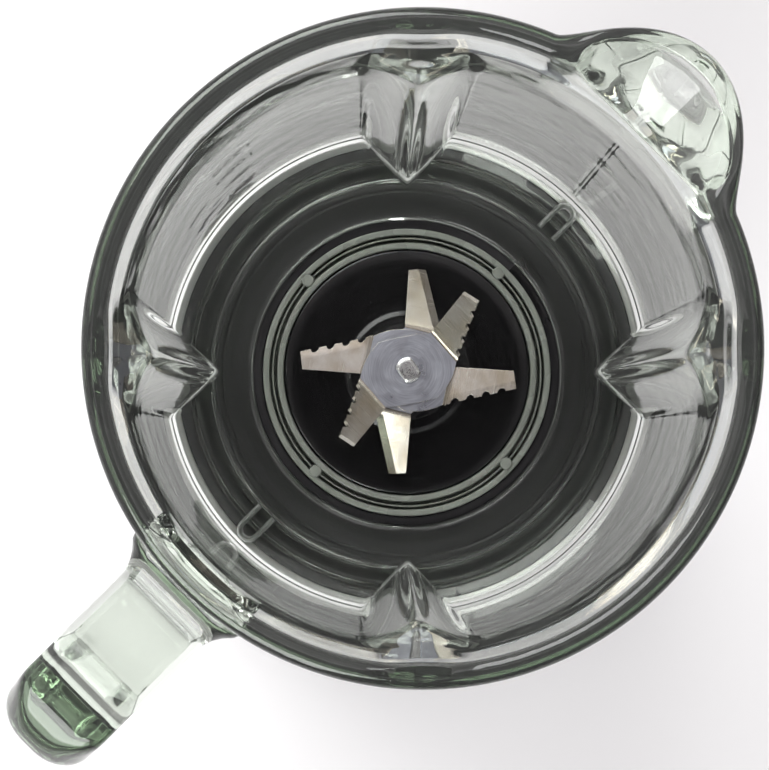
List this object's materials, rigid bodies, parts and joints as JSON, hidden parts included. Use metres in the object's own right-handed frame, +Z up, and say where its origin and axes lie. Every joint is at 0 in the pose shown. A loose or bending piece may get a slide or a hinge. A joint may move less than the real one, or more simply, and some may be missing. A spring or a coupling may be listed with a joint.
{
  "type": "countertop blender",
  "caption": "Countertop blender with an open ribbed glass jar, loop handle and spout, a stacked steel blade set, and a round motor base with a speed knob and push buttons.",
  "frame": {"origin": "on the drive axis, in the plane of the foot ring's underside", "axes": "+Z up along the drive axis, +X towards the jar's handle, -X towards the spout, -Y towards the speed knob"},
  "size_m": [0.2186, 0.1991, 0.358],
  "materials": {
    "jar_glass": "clear pressed glass with a grey-green tint",
    "clear_gasket": "translucent grey silicone",
    "black_plastic": "glossy black moulding",
    "base_plastic": "fine matte texture",
    "blade_steel": "ground and brushed stainless steel",
    "shaft_steel": "turned steel",
    "housing_steel": "brushed stainless sheet, brushed round the base",
    "trim_chrome": "satin chrome",
    "knob_black": "soft-touch black",
    "black_rubber": "matte rubber",
    "coupling_rubber": "hard moulded rubber",
    "screw_steel": "zinc plated",
    "bush_bronze": "sintered bronze",
    "bearing_steel": "polished bearing steel",
    "lamination_steel": "stacked laminations",
    "copper_winding": "enamelled copper wire",
    "bracket_alloy": "die cast",
    "commutator_copper": "copper and brass",
    "brush_carbon": "pressed carbon",
    "fan_plastic": "moulded nylon",
    "board_green": "solder mask",
    "switch_plastic": "moulded housing"
  },
  "bodies": {
    "base": {"housing": "housing_steel", "top_deck": "black_plastic", "seat_pad": "black_rubber", "skirt": "base_plastic", "bottom_plate": "base_plastic", "foot_ring": "black_rubber", "foot_screws": "screw_steel", "plate_screws": "screw_steel", "deck_screws": "screw_steel", "cord_gland": "base_plastic", "control_panel": "black_plastic", "knob_bezel": "trim_chrome", "speed_switch": "switch_plastic", "button_switches": "switch_plastic", "circuit_board": "board_green", "thermal_fuse": "switch_plastic", "stator_core": "lamination_steel", "field_windings": "copper_winding", "upper_bracket": "bracket_alloy", "lower_bracket": "bracket_alloy", "upper_bearing": "bearing_steel", "lower_bearing": "bearing_steel", "motor_bolts": "screw_steel", "motor_mounts": "black_rubber", "brush_holders": "commutator_copper", "carbon_brushes": "brush_carbon", "brush_springs": "screw_steel"},
    "rotor": {"motor_shaft": "shaft_steel", "rotor_core": "lamination_steel", "rotor_windings": "copper_winding", "commutator": "commutator_copper", "cooling_fan": "fan_plastic", "drip_slinger": "black_rubber", "drive_coupling": "coupling_rubber"},
    "jar": {"glass_jar": "jar_glass", "jar_gasket": "clear_gasket", "blade_carrier": "black_plastic", "locking_collar": "black_plastic", "upper_bush": "bush_bronze", "lower_bush": "bush_bronze", "shaft_seal": "black_rubber"},
    "blade": {"blade_shaft": "shaft_steel", "upper_blade": "blade_steel", "middle_blade": "blade_steel", "lower_blade": "blade_steel", "blade_spacers": "blade_steel", "thrust_washer": "blade_steel", "shaft_clip": "shaft_steel", "driven_coupling": "coupling_rubber"},
    "knob": {"speed_knob": "knob_black", "knob_shaft": "shaft_steel"},
    "power": {"power_button": "trim_chrome"},
    "pulse": {"pulse_button": "trim_chrome"}
  },
  "joints": [
    {"name": "jar_lift", "type": "slide", "parent": "base", "child": "jar", "axis": [0, 0, 1], "range_m": [0, 0.09]},
    {"name": "rotor_spin", "type": "hinge", "parent": "base", "child": "rotor", "pos_m": [0, 0, 0.1], "axis": [0, 0, 1], "continuous": true},
    {"name": "blade_spin", "type": "hinge", "parent": "jar", "child": "blade", "pos_m": [0, 0, 0.18], "axis": [0, 0, 1], "continuous": true},
    {"name": "knob_turn", "type": "hinge", "parent": "base", "child": "knob", "pos_m": [0, -0.08484, 0.06216], "axis": [0, 0.9888, -0.1492], "range_deg": [0, 270]},
    {"name": "power_press", "type": "slide", "parent": "base", "child": "power", "axis": [0, 0.9888, -0.1492], "range_m": [0, 0.0018], "stiffness_N_per_m": 600},
    {"name": "pulse_press", "type": "slide", "parent": "base", "child": "pulse", "axis": [0, 0.9888, -0.1492], "range_m": [0, 0.0018], "stiffness_N_per_m": 600}
  ],
  "couplings": [
    {"joint": "blade_spin", "follows": "rotor_spin", "ratio": 1}
  ]
}
